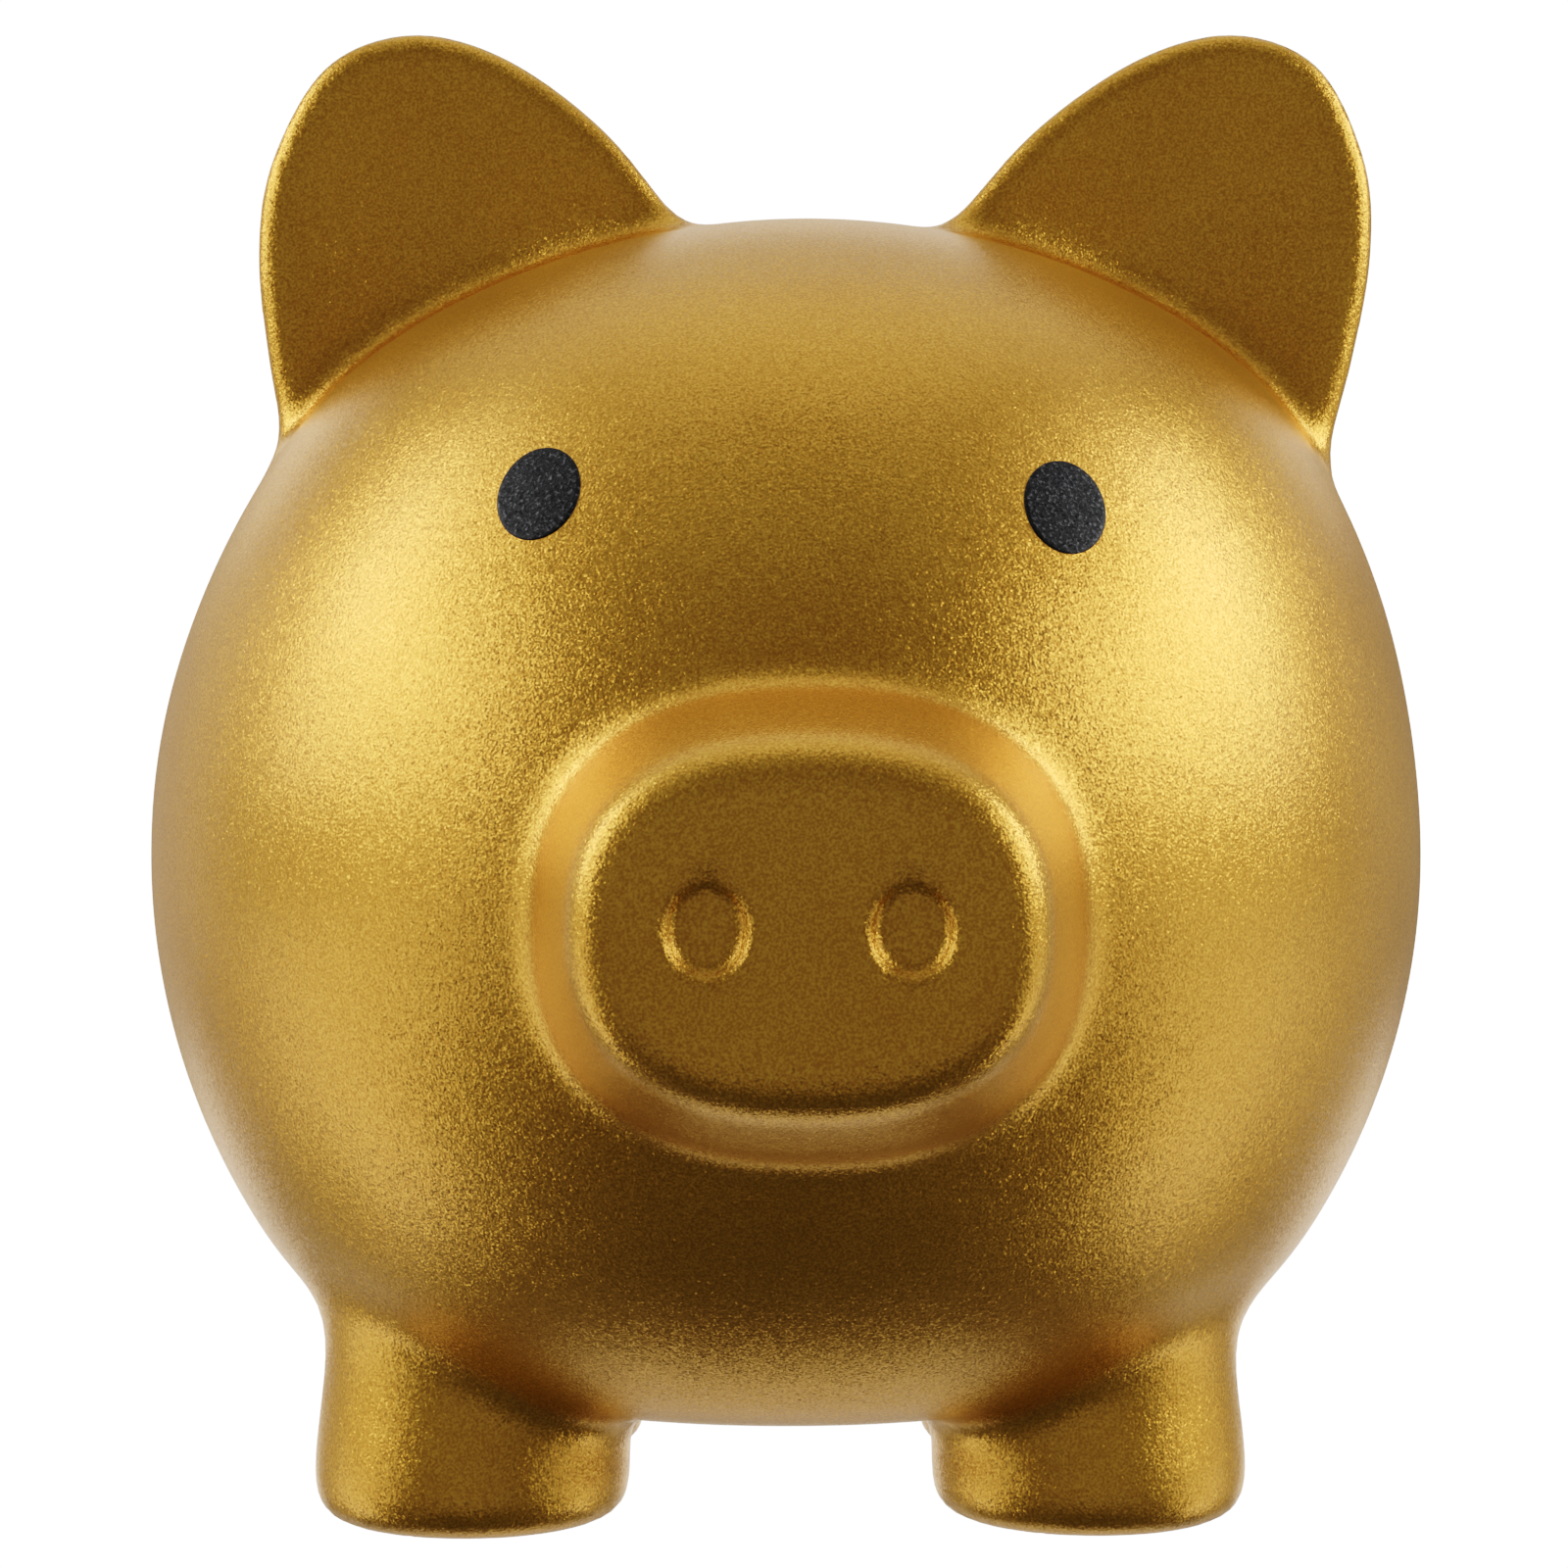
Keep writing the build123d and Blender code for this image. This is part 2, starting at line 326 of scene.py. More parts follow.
def tail_line():
    """Points along the tail's curl, from inside the body outwards."""
    turns = (TAIL_END_Y - TAIL_START_Y) / TAIL_TURN
    angle = np.linspace(0, 2 * math.pi * turns, TAIL_POINTS)
    y = np.linspace(TAIL_START_Y, TAIL_END_Y, TAIL_POINTS)
    x = TAIL_CENTRE[0] + TAIL_CURL * np.cos(angle)
    z = TAIL_CENTRE[1] - TAIL_CURL * np.sin(angle)
    return np.stack([x, y, z], axis=1)


def tail_distance(p):
    """A round rope along the tail's line."""
    nearest = np.full(len(p), FAR)
    line = tail_line()
    for a, b in zip(line[:-1], line[1:]):
        d = b - a
        t = np.clip((p - a) @ d / (d @ d), 0, 1)
        nearest = np.minimum(nearest, np.linalg.norm(p - a - t[:, None] * d, axis=1))
    return nearest - TAIL_RADIUS


def slot_distance(p):
    """The round-ended coin slot, open from above the body's middle upwards."""
    straight_half = SLOT_HALF_LENGTH - SLOT_HALF_WIDTH
    along = np.clip(np.abs(p[:, 1] - SLOT_CENTRE_Y) - straight_half, 0, None)
    side = np.hypot(along, p[:, 0]) - SLOT_HALF_WIDTH
    return np.maximum(side, BODY_CENTRE[2] + SLOT_RISE - p[:, 2])


def hole_distance(p):
    """The round plug hole, open from the body's middle downwards."""
    side = np.hypot(p[:, 0], p[:, 1] - BODY_CENTRE[1]) - HOLE_RADIUS
    return np.maximum(side, p[:, 2] - BODY_CENTRE[2])


def outer_distance(p):
    """The closed outside of the pig."""
    f = smooth_min(body_distance(p), only_near(p, SNOUT_REGION, snout_distance), SNOUT_ROOT_BLEND)
    f = smooth_max(f, -only_near(p, NOSTRIL_REGION, nostril_distance), NOSTRIL_SOFTNESS)
    f = smooth_min(f, only_near(p, EAR_REGION, ear_distance), EAR_BLEND)
    for node in LEG_NODES:
        x, y, _ = middle_mm(node)
        low = (x - LEG_REACH, y - LEG_REACH, LEG_REGION_Z[0])
        high = (x + LEG_REACH, y + LEG_REACH, LEG_REGION_Z[1])
        leg = only_near(p, (low, high), lambda q: leg_distance(q, (x, y)))
        f = smooth_min(f, leg, LEG_BLEND)
    return smooth_min(f, only_near(p, TAIL_REGION, tail_distance), TAIL_BLEND)


def skin_distance(p):
    """The whole hollow casting, with its coin slot and plug hole."""
    cavity = body_distance(p, -WALL, BELLY_Z + WALL)
    f = smooth_max(outer_distance(p), -cavity, EDGE_SOFTNESS)
    f = smooth_max(f, -slot_distance(p), EDGE_SOFTNESS)
    return smooth_max(f, -hole_distance(p), HOLE_SOFTNESS)


# ---------------------------------------------------------------- meshing

# Grid lines along x, y and z for the skin, as graded() takes them. They are finest at the nostrils,
# the snout's face and the ears.
SKIN_GRID = (
    (-57, 57, 1.4, [(-9.5, 12.5, 0.5), (-51, -9.5, 1.15), (12.5, 51, 1.15)]),
    (-71.5, 71.5, 1.5, [(-70.5, -64.5, 0.5), (-5.0, 7.0, 0.8), (60.0, 70.0, 0.8)]),
    (-1.5, 126, 1.4, [(-1.5, 5.0, 0.9), (45.5, 55.5, 0.5), (85.0, 126.0, 1.05)]),
)
SKIN_ROUNDS = 5
PLUG_ROUNDS = 2

# How settle() moves a vertex: the longest step towards the surface, the least slope it divides by,
# and the share of the way to its neighbours' middle
LONGEST_STEP = 0.6
LEAST_SLOPE = 0.05
EVENING = 0.5


def graded(low, high, coarse, fine_spans):
    """Grid lines from low to high: coarse steps, with (start, end, step) stretches of finer ones."""
    lines = [low]
    while lines[-1] < high:
        here = lines[-1]
        steps = [step for start, end, step in fine_spans if start - 1e-6 <= here < end]
        lines.append(here + min(steps + [coarse]))
    return np.array(lines)


def surface_net(measure, axes):
    """Vertices and quads round the zero level of measure on a grid with uneven lines."""
    shape = tuple(len(a) for a in axes)
    values = np.empty(shape)
    yy, zz = np.meshgrid(axes[1], axes[2], indexing="ij")
    for i, x in enumerate(axes[0]):
        layer = np.stack([np.full(yy.size, x), yy.ravel(), zz.ravel()], axis=1)
        values[i] = measure(layer).reshape(yy.shape)
    inside = values < 0
    corners = [(i, j, k) for i in (0, 1) for j in (0, 1) for k in (0, 1)]
    nx, ny, nz = (n - 1 for n in shape)
    count = sum(inside[i : i + nx, j : j + ny, k : k + nz].astype(np.int8) for i, j, k in corners)
    active = np.argwhere((count > 0) & (count < len(corners)))
    index = np.full((nx, ny, nz), -1)
    index[tuple(active.T)] = np.arange(len(active))

    # One vertex in each cell that the surface passes through, at the mean of its edges' crossings
    total = np.zeros((len(active), 3))
    hits = np.zeros(len(active))
    for axis in range(3):
        for corner in corners:
            if corner[axis]:
                continue
            other = list(corner)
            other[axis] = 1
            a = active + corner
            b = active + other
            va, vb = values[tuple(a.T)], values[tuple(b.T)]
            cut = (va < 0) != (vb < 0)
            t = np.where(cut, va / np.where(cut, va - vb, 1), 0)
            pa = np.stack([axes[k][a[:, k]] for k in range(3)], axis=1)
            pb = np.stack([axes[k][b[:, k]] for k in range(3)], axis=1)
            total += np.where(cut[:, None], pa + (pb - pa) * t[:, None], 0)
            hits += cut
    verts = total / hits[:, None]

    # One quad across each grid edge that the surface crosses, joining the four cells round it
    quads = []
    for axis in range(3):
        u, v = (axis + 1) % 3, (axis + 2) % 3
        low = [slice(None)] * 3
        high = [slice(None)] * 3
        low[axis], high[axis] = slice(0, -1), slice(1, None)
        for side in (u, v):
            low[side] = high[side] = slice(1, -1)
        first, second = inside[tuple(low)], inside[tuple(high)]
        for starts_inside in (True, False):
            edges = np.argwhere((first != second) & (first == starts_inside))
            edges[:, u] += 1
            edges[:, v] += 1
            ring = []
            for du, dv in ((0, 0), (-1, 0), (-1, -1), (0, -1)):
                cell = edges.copy()
                cell[:, u] += du
                cell[:, v] += dv
                ring.append(index[tuple(cell.T)])
            quad = np.stack(ring, axis=1)
            quads.append(quad if starts_inside else quad[:, ::-1])
    return verts, np.concatenate(quads)


def gradient(measure, p, step=0.02):
    """Slope of a distance at points, which is the outward direction at the surface."""
    columns = []
    for axis in range(3):
        offset = np.zeros(3)
        offset[axis] = step
        columns.append((measure(p + offset) - measure(p - offset)) / (2 * step))
    return np.stack(columns, axis=1)


def settle(measure, verts, quads, rounds):
    """Evens out the vertices along the surface and pulls them exactly onto it."""
    ends = np.concatenate([quads, np.roll(quads, -1, axis=1)]).reshape(-1)
    mates = np.concatenate([np.roll(quads, -1, axis=1), quads]).reshape(-1)
    degree = np.bincount(ends, minlength=len(verts))[:, None]
    for turn in range(rounds + 1):
        slope = gradient(measure, verts)
        steep = np.maximum((slope ** 2).sum(1), LEAST_SLOPE)[:, None]
        verts = verts - np.clip(measure(verts)[:, None] / steep, -LONGEST_STEP, LONGEST_STEP) * slope
        if turn == rounds:
            break
        sums = [np.bincount(ends, verts[mates, k], len(verts)) for k in range(3)]
        move = (np.stack(sums, axis=1) / degree - verts) * EVENING
        normal = slope / np.linalg.norm(slope, axis=1)[:, None]
        verts = verts + move - (move * normal).sum(1)[:, None] * normal
    return verts


def make_object(name, verts_mm, faces):
    """A smooth-shaded Blender object from vertices in millimetres."""
    mesh = bpy.data.meshes.new(name)
    mesh.from_pydata((np.asarray(verts_mm) * MM).tolist(), [], [list(map(int, f)) for f in faces])
    mesh.validate()
    mesh.shade_smooth()
    piece = bpy.data.objects.new(name, mesh)
    bpy.context.scene.collection.objects.link(piece)
    return piece


def make_skin():
    """The gold casting as one mesh."""
    verts, quads = surface_net(skin_distance, [graded(*lines) for lines in SKIN_GRID])
    verts = settle(skin_distance, verts, quads, SKIN_ROUNDS)
    return make_object("gold_skin", verts, quads)


skin = make_skin()


# ---------------------------------------------------------------- painted eyes

# Each eye's turn in degrees, and its half width and half height before the turn
EYES = {"left_eye": 26.0, "right_eye": -18.5}
EYE_HALF = {"left_eye": (3.02, 3.66), "right_eye": (3.04, 3.61)}
EYE_DROP = 0.16
PAINT_THICK = 0.12
PAINT_ROOT = 0.25

# The film's edge: shares of the eye's radius, and heights over the skin
EYE_FLAT = 0.97
EYE_EDGE = ((0.99, PAINT_THICK * 0.6), (1.0, -0.05))

# The search for the skin starts this far behind the snout's face, still in front of the head, and
# each step goes back by this share of the distance left
SEARCH_START = 12.0
SEARCH_STEPS = 60
SEARCH_SHARE = 0.9


def on_skin(x, z):
    """Points on the face at the given places across and up, found along Y."""
    y = np.full(len(x), SNOUT_FACE_Y + SEARCH_START)
    for _ in range(SEARCH_STEPS):
        y = y + np.maximum(outer_distance(np.stack([x, y, z], axis=1)), 0) * SEARCH_SHARE
    return np.stack([x, y, z], axis=1)


def make_eye(node, rings=14, around=72):
    """A thin paint film that follows the skin, with a soft edge that runs down into it."""
    middle = middle_mm(node)
    turn = math.radians(-EYES[node])
    half_x, half_z = EYE_HALF[node]
    profile = [(radius, PAINT_THICK) for radius in np.linspace(0, EYE_FLAT, rings)] + list(EYE_EDGE)
    place = []
    lift = []
    for radius, height in profile:
        for k in range(around if radius else 1):
            angle = 2 * math.pi * k / around
            u, v = half_x * radius * math.cos(angle), half_z * radius * math.sin(angle)
            across = u * math.cos(turn) - v * math.sin(turn)
            up = u * math.sin(turn) + v * math.cos(turn)
            place.append((across, up))
            lift.append(height)
    place = np.array(place)
    points = on_skin(middle[0] + place[:, 0], middle[2] - EYE_DROP + place[:, 1])
    normal = gradient(outer_distance, points)
    normal /= np.linalg.norm(normal, axis=1)[:, None]
    top = points + normal * np.array(lift)[:, None]
    under = points - normal * PAINT_ROOT
    count = len(top)
    faces = []
    for k in range(around):
        nxt = (k + 1) % around
        faces.append((0, 1 + k, 1 + nxt))
        faces.append((count, count + 1 + nxt, count + 1 + k))
        for ring in range(len(profile) - 2):
            a, b = 1 + ring * around, 1 + (ring + 1) * around
            faces.append((a + k, b + k, b + nxt, a + nxt))
            faces.append((count + a + k, count + a + nxt, count + b + nxt, count + b + k))
        rim = 1 + (len(profile) - 2) * around
        faces.append((rim + k, count + rim + k, count + rim + nxt, rim + nxt))
    return make_object("painted_" + node, np.concatenate([top, under]), faces)


eyes = {node: make_eye(node) for node in EYES}


# ---------------------------------------------------------------- belly plug

PLUG_LOW, PLUG_HIGH = box_mm("stopper")
PLUG_RADIUS = (PLUG_HIGH[0] - PLUG_LOW[0]) / 2
PLUG_GAP = 0.05
FLANGE_TOP = BELLY_Z - PLUG_GAP
FLANGE_THICK = 1.4
FLANGE_MIDDLE = FLANGE_TOP - FLANGE_THICK / 2
SKIRT_OUTER = HOLE_RADIUS - PLUG_GAP
SKIRT_TAPER = 1.2
CUP_RADIUS = 11.0
CUP_FLOOR_Z = 10.0
PLUG_ROUNDING = 1.0
PULL_HALF = (7.0, 1.6)
PULL_ROUNDING = (3.0, 1.2)
PULL_BLEND = 1.6

# Grid steps for the plug across, at the finger tab and upwards, and the room round it
PLUG_STEP = 0.7
PULL_STEP = 0.4
PLUG_LAYER = 0.35
PLUG_ROOM = (1.5, 1)
PULL_ROOM = 3


def plug_distance(p):
    """Flange, tapered skirt with a hollow top, and a rounded finger tab."""
    away = np.hypot(p[:, 0], p[:, 1] - BODY_CENTRE[1])
    flange_side = np.abs(p[:, 2] - FLANGE_TOP + FLANGE_THICK / 2) - FLANGE_THICK / 2
    flange = smooth_max(away - PLUG_RADIUS, flange_side, PLUG_ROUNDING)
    skirt_heights = (BELLY_Z + WALL, PLUG_HIGH[2])
    skirt_radius = np.interp(p[:, 2], skirt_heights, (SKIRT_OUTER, SKIRT_OUTER - SKIRT_TAPER))
    skirt = smooth_max(away - skirt_radius, p[:, 2] - PLUG_HIGH[2], PLUG_ROUNDING)
    skirt = np.maximum(skirt, FLANGE_MIDDLE - p[:, 2])
    f = np.minimum(flange, skirt)
    cup = np.maximum(away - CUP_RADIUS, CUP_FLOOR_Z - p[:, 2])
    f = smooth_max(f, -cup, PLUG_ROUNDING)
    tab_half = (FLANGE_MIDDLE - PLUG_LOW[2]) / 2
    tab_x = np.abs(p[:, 0]) - PULL_HALF[0]
    tab_y = np.abs(p[:, 1] - BODY_CENTRE[1]) - PULL_HALF[1]
    tab_z = np.abs(p[:, 2] - PLUG_LOW[2] - tab_half) - tab_half
    tab = smooth_max(smooth_max(tab_x, tab_z, PULL_ROUNDING[0]), tab_y, PULL_ROUNDING[1])
    return smooth_min(f, tab, PULL_BLEND)


def make_plug():
    """The belly plug as one mesh."""
    reach = PLUG_RADIUS + PLUG_ROOM[0]
    middle = BODY_CENTRE[1]
    tab = (middle - PULL_ROOM, middle + PULL_ROOM, PULL_STEP)
    axes = (
        graded(-reach, reach, PLUG_STEP, []),
        graded(middle - reach, middle + reach, PLUG_STEP, [tab]),
        graded(PLUG_LOW[2] - PLUG_ROOM[1], PLUG_HIGH[2] + PLUG_ROOM[1], PLUG_LAYER, []),
    )
    verts, quads = surface_net(plug_distance, axes)
    verts = settle(plug_distance, verts, quads, PLUG_ROUNDS)
    return make_object("rubber_plug", verts, quads)


plug = make_plug()


# ---------------------------------------------------------------- materials

GOLD_DEEP = (0.73, 0.385, 0.070)
GOLD_PALE = (0.96, 0.575, 0.125)
GOLD_STOPS = (0.30, 0.72)
GOLD_METALLIC = 0.75
GOLD_ROUGHNESS = (0.32, 0.37)
GOLD_COAT = 0.35
GOLD_COAT_ROUGHNESS = 0.3
CLOUD_SCALE = 60.0
CLOUD_DETAIL = 3.0
CLOUD_SHADE = (0.93, 0.90, 0.86)
CLOUD_STOPS = (0.3, 0.7)
WHITE = (1.0, 1.0, 1.0)

# Bumps: cells to the metre, height in metres, and strength. A pit takes up this share of its cell.
PEEL_SCALE = 2600.0
PEEL_HEIGHT = 0.00005
PEEL_STRENGTH = 0.5
FLAKE_SCALE = 5200.0
FLAKE_HEIGHT = 0.00003
FLAKE_STRENGTH = 0.6
PIT_SCALE = 70.0
PIT_HEIGHT = 0.0001
PIT_STRENGTH = 0.6
PIT_SIZE = 0.02

# Glints: flakes to the metre, and how far the most upright ones tip the surface
GLINT_SCALE = 7000.0
GLINT_TILT = 0.18

# The eyes' black, and a grey painted into it in specks as glints that the bumpy enamel catches
EYE_BLACK = (0.022, 0.022, 0.024)
EYE_GLINT_GREY = (0.20, 0.20, 0.21)
EYE_STOPS = (0.56, 0.74)
EYE_ROUGHNESS = (0.50, 0.34)
EYE_GRAIN_SCALE = 3600.0
EYE_GRAIN_HEIGHT = 0.00006
EYE_GRAIN_STRENGTH = 0.5

RUBBER_DULL = (0.66, 0.65, 0.60)
RUBBER_CLEAR = (0.76, 0.75, 0.71)
RUBBER_STOPS = (0.3, 0.7)
RUBBER_ROUGHNESS = (0.55, 0.65)
RUBBER_GRAIN_SCALE = 300.0
RUBBER_MILKINESS = 0.2
RUBBER_SCATTER = (0.002, 0.002, 0.0015)


def new_material(name):
    """An empty node material with a shader: the material, its tree and the shader."""
    material = bpy.data.materials.new(name)
    material.use_nodes = True
    tree = material.node_tree
    tree.nodes.clear()
    shader = tree.nodes.new("ShaderNodeBsdfPrincipled")
    out = tree.nodes.new("ShaderNodeOutputMaterial")
    tree.links.new(shader.outputs["BSDF"], out.inputs["Surface"])
    return material, tree, shader


def noise(tree, place, scale, detail=2.0):
    """A noise texture over the object's own coordinates."""
    node = tree.nodes.new("ShaderNodeTexNoise")
    node.inputs["Scale"].default_value = scale
    node.inputs["Detail"].default_value = detail
    tree.links.new(place.outputs["Object"], node.inputs["Vector"])
    return node.outputs["Fac"]


def spread(tree, value, low, high, start=0.0, end=1.0):
    """A value from start to end mapped onto low to high."""
    node = tree.nodes.new("ShaderNodeMapRange")
    node.inputs["From Min"].default_value = start
    node.inputs["From Max"].default_value = end
    node.inputs["To Min"].default_value = low
    node.inputs["To Max"].default_value = high
    tree.links.new(value, node.inputs["Value"])
    return node.outputs["Result"]


def ramp(tree, value, stops, colors):
    """A colour ramp with two colours at two stops."""
    node = tree.nodes.new("ShaderNodeValToRGB")
    for element, position, color in zip(node.color_ramp.elements, stops, colors):
        element.position = position
        element.color = (*color, 1)
    tree.links.new(value, node.inputs["Fac"])
    return node.outputs["Color"]


def bumps(tree, value, strength, distance, under=None):
    """A bump of a height in metres, laid over another bump if one is given."""
    node = tree.nodes.new("ShaderNodeBump")
    node.inputs["Strength"].default_value = strength
    node.inputs["Distance"].default_value = distance
    tree.links.new(value, node.inputs["Height"])
    if under:
        tree.links.new(under, node.inputs["Normal"])
    return node.outputs["Normal"]


def vector_math(tree, operation, first, second):
    """A vector sum, product or the like; second is a socket or three plain numbers."""
    node = tree.nodes.new("ShaderNodeVectorMath")
    node.operation = operation
    tree.links.new(first, node.inputs[0])
    if isinstance(second, tuple):
        node.inputs[1].default_value = second
    elif second:
        tree.links.new(second, node.inputs[1])
    return node.outputs["Vector"]


def cells(tree, place, scale, output):
    """Small irregular cells: a random colour each, or the distance to each one's middle."""
    node = tree.nodes.new("ShaderNodeTexVoronoi")
    node.inputs["Scale"].default_value = scale
    tree.links.new(place.outputs["Object"], node.inputs["Vector"])
    return node.outputs[output]


def glints(tree, place, normal, scale, tilt):
    """Tips every flake its own way: most lie nearly flat, and a few stand up and catch the light."""
    half = 0.5
    way = vector_math(tree, "SUBTRACT", cells(tree, place, scale, "Color"), (half, half, half))
    cube = vector_math(tree, "MULTIPLY", vector_math(tree, "MULTIPLY", way, way), way)
    most = tilt / half ** 3
    tipped = vector_math(tree, "MULTIPLY", cube, (most, most, most))
    return vector_math(tree, "NORMALIZE", vector_math(tree, "ADD", normal, tipped), None)


def gold_paint():
    """Sprayed metallic gold: fine orange peel, flake grain, slow changes of tone, a few pits."""
    material, tree, shader = new_material("gold_paint")
    shader.inputs["Metallic"].default_value = GOLD_METALLIC
    shader.inputs["Coat Weight"].default_value = GOLD_COAT
    shader.inputs["Coat Roughness"].default_value = GOLD_COAT_ROUGHNESS
    place = tree.nodes.new("ShaderNodeTexCoord")
    peel = noise(tree, place, PEEL_SCALE, detail=1.0)
    flake = noise(tree, place, FLAKE_SCALE, detail=0.0)
    cloud = noise(tree, place, CLOUD_SCALE, CLOUD_DETAIL)
    mix = tree.nodes.new("ShaderNodeMix")
    mix.data_type = "RGBA"
    mix.blend_type = "MULTIPLY"
    mix.inputs["Factor"].default_value = 1.0
    tree.links.new(ramp(tree, flake, GOLD_STOPS, (GOLD_DEEP, GOLD_PALE)), mix.inputs["A"])
    tree.links.new(ramp(tree, cloud, CLOUD_STOPS, (CLOUD_SHADE, WHITE)), mix.inputs["B"])
    tree.links.new(mix.outputs["Result"], shader.inputs["Base Color"])
    tree.links.new(spread(tree, cloud, *GOLD_ROUGHNESS), shader.inputs["Roughness"])
    pit = spread(tree, cells(tree, place, PIT_SCALE, "Distance"), 0.0, 1.0, 0.0, PIT_SIZE)
    normal = bumps(tree, pit, PIT_STRENGTH, PIT_HEIGHT)
    normal = bumps(tree, peel, PEEL_STRENGTH, PEEL_HEIGHT, normal)
    normal = bumps(tree, flake, FLAKE_STRENGTH, FLAKE_HEIGHT, normal)
    tipped = glints(tree, place, normal, GLINT_SCALE, GLINT_TILT)
    tree.links.new(tipped, shader.inputs["Normal"])
    return material


def eye_paint():
    """Black enamel with fine grey specks painted into its colour as glints."""
    material, tree, shader = new_material("eye_paint")
    place = tree.nodes.new("ShaderNodeTexCoord")
    grain = noise(tree, place, EYE_GRAIN_SCALE, detail=1.0)
    # Grey specks painted into the black as glints
    painted_glint = ramp(tree, grain, EYE_STOPS, (EYE_BLACK, EYE_GLINT_GREY))
    tree.links.new(painted_glint, shader.inputs["Base Color"])
    tree.links.new(spread(tree, grain, *EYE_ROUGHNESS), shader.inputs["Roughness"])
    normal = bumps(tree, grain, EYE_GRAIN_STRENGTH, EYE_GRAIN_HEIGHT)
    tipped = glints(tree, place, normal, GLINT_SCALE, GLINT_TILT)
    tree.links.new(tipped, shader.inputs["Normal"])
    return material


def rubber():
    """Milky soft plastic for the plug."""
    material, tree, shader = new_material("plug_rubber")
    place = tree.nodes.new("ShaderNodeTexCoord")
    grain = noise(tree, place, RUBBER_GRAIN_SCALE)
    milk = ramp(tree, grain, RUBBER_STOPS, (RUBBER_DULL, RUBBER_CLEAR))
    tree.links.new(milk, shader.inputs["Base Color"])
    tree.links.new(spread(tree, grain, *RUBBER_ROUGHNESS), shader.inputs["Roughness"])
    shader.inputs["Subsurface Weight"].default_value = RUBBER_MILKINESS
    shader.inputs["Subsurface Radius"].default_value = RUBBER_SCATTER
    return material


skin.data.materials.append(gold_paint())
plug.data.materials.append(rubber())
black = eye_paint()
for eye in eyes.values():
    eye.data.materials.append(black)

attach(skin, "bank")
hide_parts("body_shell", "snout", "left_ear", "right_ear", "tail", *LEG_NODES)
for node, eye in eyes.items():
    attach(eye, "bank")
    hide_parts(node)
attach(plug, "stopper")
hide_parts("stopper")


# ---------------------------------------------------------------- stage, light and camera

PIG = Vector((0, 0.004, 0.055))
LIGHT_DISTANCE = 0.8
# Just over 1, so that the paper and the floor come out fully white
PAPER_WHITE = 1.02
FLOOR_GLOW = 1.02
FLOOR_HALF = 3.0

# Softboxes in mirrored pairs: degrees round from the camera, degrees up, width, height, then the
# watts on the camera's left and right. The main boxes are a little stronger on the right.
SOFTBOX_PAIRS = {
    "side": (88, 18, 0.5, 0.35, 0.75, 0.90),
    "high": (88, 45, 0.5, 0.35, 0.40, 0.25),
    "key": (96, 34, 0.25, 0.25, 0.35, 0.40),
    "front_side": (60, 20, 0.3, 0.4, 0.40, 0.50),
    "front_low": (62, -10, 0.3, 0.4, 0.15, 0.10),
    "table": (92, -18, 0.6, 0.35, 0.40, 0.35),
    "table_key": (96, -38, 0.3, 0.22, 0.20, 0.20),
    "edge": (125, 0, 0.3, 0.8, 0.10, 0.10),
    "back_side": (140, 8, 0.6, 0.5, 0.20, 0.10),
}

# Softboxes before, above and behind the pig: degrees round from the camera, degrees up, width,
# height, watts
MIDDLE_SOFTBOXES = {
    "top": (0, 85, 0.7, 0.5, 0.40),
    "top_front": (0, 52, 0.8, 0.4, 0.10),
    "top_back": (180, 62, 1.0, 0.5, 0.60),
    "back_high": (180, 28, 1.2, 0.3, 0.60),
    "back_floor": (180, -18, 1.2, 0.2, 0.55),
    "back_table": (180, -42, 1.2, 0.3, 0.40),
    "under": (180, -65, 0.6, 0.3, 0.25),
    "front": (0, 8, 0.9, 0.3, 0.12),
    "front_table": (0, -22, 0.9, 0.4, 0.16),
}
ROOM_LIGHT = 0.04

# Print contrast: how bright a tone is and how bright it comes out, both from 0 to 1
COMBINED_CURVE = 3
CONTRAST = [
    (0.01, 0.004),
    (0.03, 0.02),
    (0.10, 0.14),
    (0.17, 0.27),
    (0.30, 0.48),
    (0.50, 0.70),
    (0.86, 0.92),
]


def camera_only(thing):
    """Keeps a backdrop out of reflections and shadows."""
    thing.visible_diffuse = False
    thing.visible_glossy = False
    thing.visible_transmission = False
    thing.visible_shadow = False


def make_floor():
    """A white table top, seen by the camera alone and clear from underneath.

    The light that a real table would throw back comes from the low softboxes.
    """
    bm = bmesh.new()
    bmesh.ops.create_grid(bm, x_segments=8, y_segments=8, size=FLOOR_HALF)
    mesh = bpy.data.meshes.new("floor")
    bm.to_mesh(mesh)
    bm.free()
    floor = bpy.data.objects.new("floor", mesh)
    bpy.context.scene.collection.objects.link(floor)
    material = bpy.data.materials.new("floor_white")
    material.use_nodes = True
    tree = material.node_tree
    tree.nodes.clear()
    white = tree.nodes.new("ShaderNodeEmission")
    white.inputs["Color"].default_value = (*WHITE, 1)
    white.inputs["Strength"].default_value = FLOOR_GLOW
    clear = tree.nodes.new("ShaderNodeBsdfTransparent")
    side = tree.nodes.new("ShaderNodeNewGeometry")
    mix = tree.nodes.new("ShaderNodeMixShader")
    out = tree.nodes.new("ShaderNodeOutputMaterial")
    tree.links.new(side.outputs["Backfacing"], mix.inputs["Fac"])
    tree.links.new(white.outputs["Emission"], mix.inputs[1])
    tree.links.new(clear.outputs["BSDF"], mix.inputs[2])
    tree.links.new(mix.outputs["Shader"], out.inputs["Surface"])
    floor.data.materials.append(material)
    camera_only(floor)


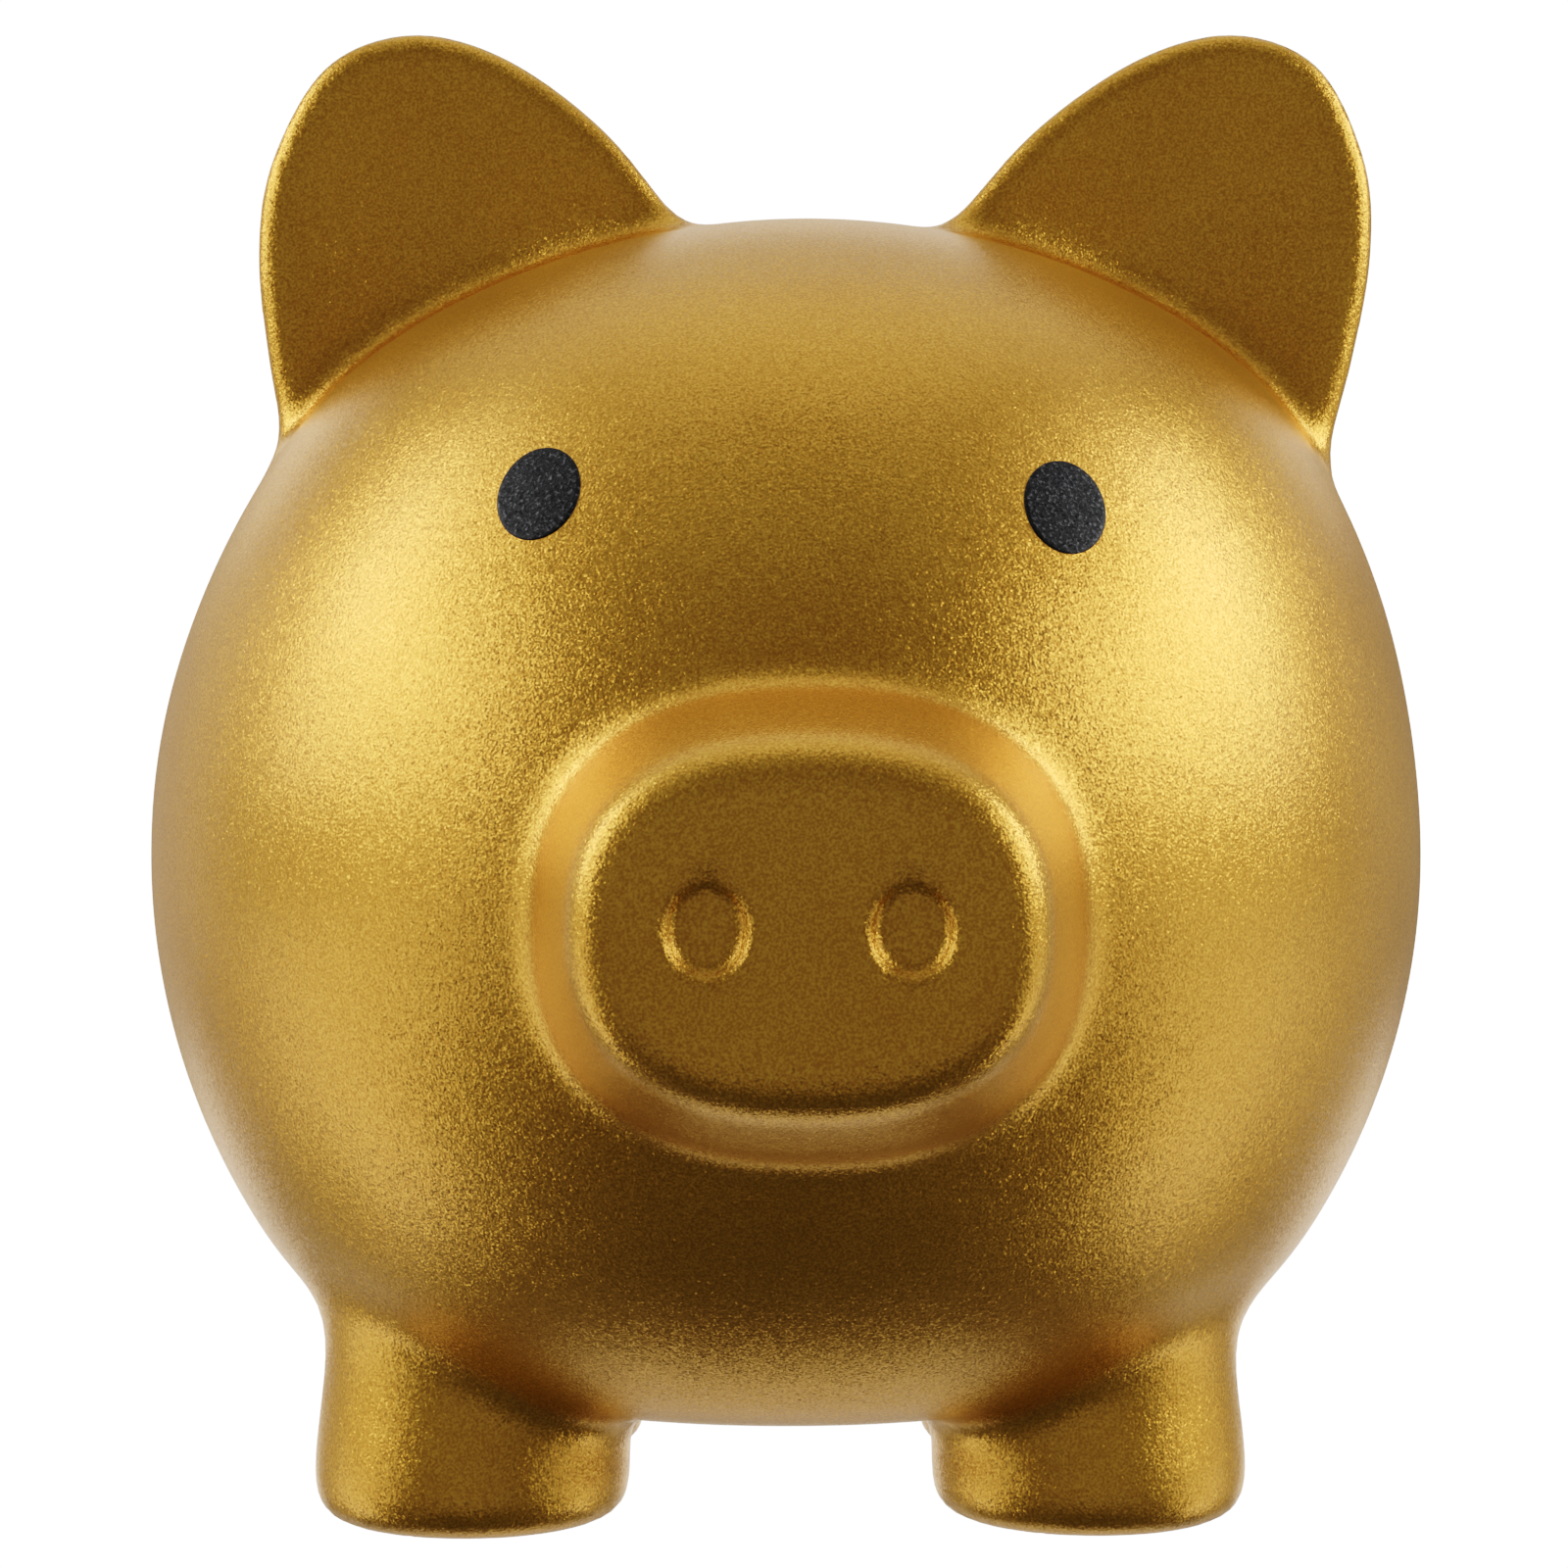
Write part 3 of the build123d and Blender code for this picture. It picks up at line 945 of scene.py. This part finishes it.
def softbox(name, azimuth, elevation, width, height, watts):
    """A rectangular light aimed at the pig, from degrees to the camera's right and up."""
    turn, rise = math.radians(azimuth), math.radians(elevation)
    away = Vector((math.sin(turn) * math.cos(rise), -math.cos(turn) * math.cos(rise), math.sin(rise)))
    light = bpy.data.lights.new(name, "AREA")
    light.shape = "RECTANGLE"
    light.size, light.size_y = width, height
    light.energy = watts
    lamp = bpy.data.objects.new(name, light)
    lamp.location = PIG + away * LIGHT_DISTANCE
    lamp.rotation_mode = "QUATERNION"
    lamp.rotation_quaternion = (-away).to_track_quat("-Z", "Y")
    lamp.visible_camera = False
    bpy.context.scene.collection.objects.link(lamp)


def make_world():
    """Dim even room light for the pig, and plain white paper for the camera."""
    world = bpy.data.worlds.new("studio")
    world.use_nodes = True
    tree = world.node_tree
    room = tree.nodes["Background"]
    room.inputs["Color"].default_value = (*WHITE, 1)
    room.inputs["Strength"].default_value = ROOM_LIGHT
    paper = tree.nodes.new("ShaderNodeBackground")
    paper.inputs["Color"].default_value = (*WHITE, 1)
    paper.inputs["Strength"].default_value = PAPER_WHITE
    seen = tree.nodes.new("ShaderNodeLightPath")
    mix = tree.nodes.new("ShaderNodeMixShader")
    tree.links.new(seen.outputs["Is Camera Ray"], mix.inputs["Fac"])
    tree.links.new(room.outputs["Background"], mix.inputs[1])
    tree.links.new(paper.outputs["Background"], mix.inputs[2])
    tree.links.new(mix.outputs["Shader"], tree.nodes["World Output"].inputs["Surface"])
    bpy.context.scene.world = world


def set_contrast():
    """Lays the print contrast over the plain view of the scene."""
    view = bpy.context.scene.view_settings
    view.view_transform = "Standard"
    view.use_curve_mapping = True
    curve = view.curve_mapping.curves[COMBINED_CURVE]
    for tone in CONTRAST:
        curve.points.new(*tone)
    view.curve_mapping.update()


make_floor()
for name, (around, up, width, height, left_watts, right_watts) in SOFTBOX_PAIRS.items():
    softbox("left_" + name, -around, up, width, height, left_watts)
    softbox("right_" + name, around, up, width, height, right_watts)
for name, setting in MIDDLE_SOFTBOXES.items():
    softbox(name, *setting)
make_world()
set_contrast()

# The camera looks level along +Y, from in front of the body's middle
CAMERA_X = -0.00016
CAMERA_BACK = 0.336
CAMERA_HEIGHT = 0.0599
LENS = 89.73
SENSOR = 36.0


def make_camera():
    """The photo's own view."""
    data = bpy.data.cameras.new("camera")
    data.sensor_width = SENSOR
    data.lens = LENS
    camera = bpy.data.objects.new("camera", data)
    camera.location = (CAMERA_X, BODY_CENTRE[1] * MM - CAMERA_BACK, CAMERA_HEIGHT)
    camera.rotation_euler = (math.radians(90), 0, 0)
    bpy.context.scene.collection.objects.link(camera)
    bpy.context.scene.camera = camera


make_camera()
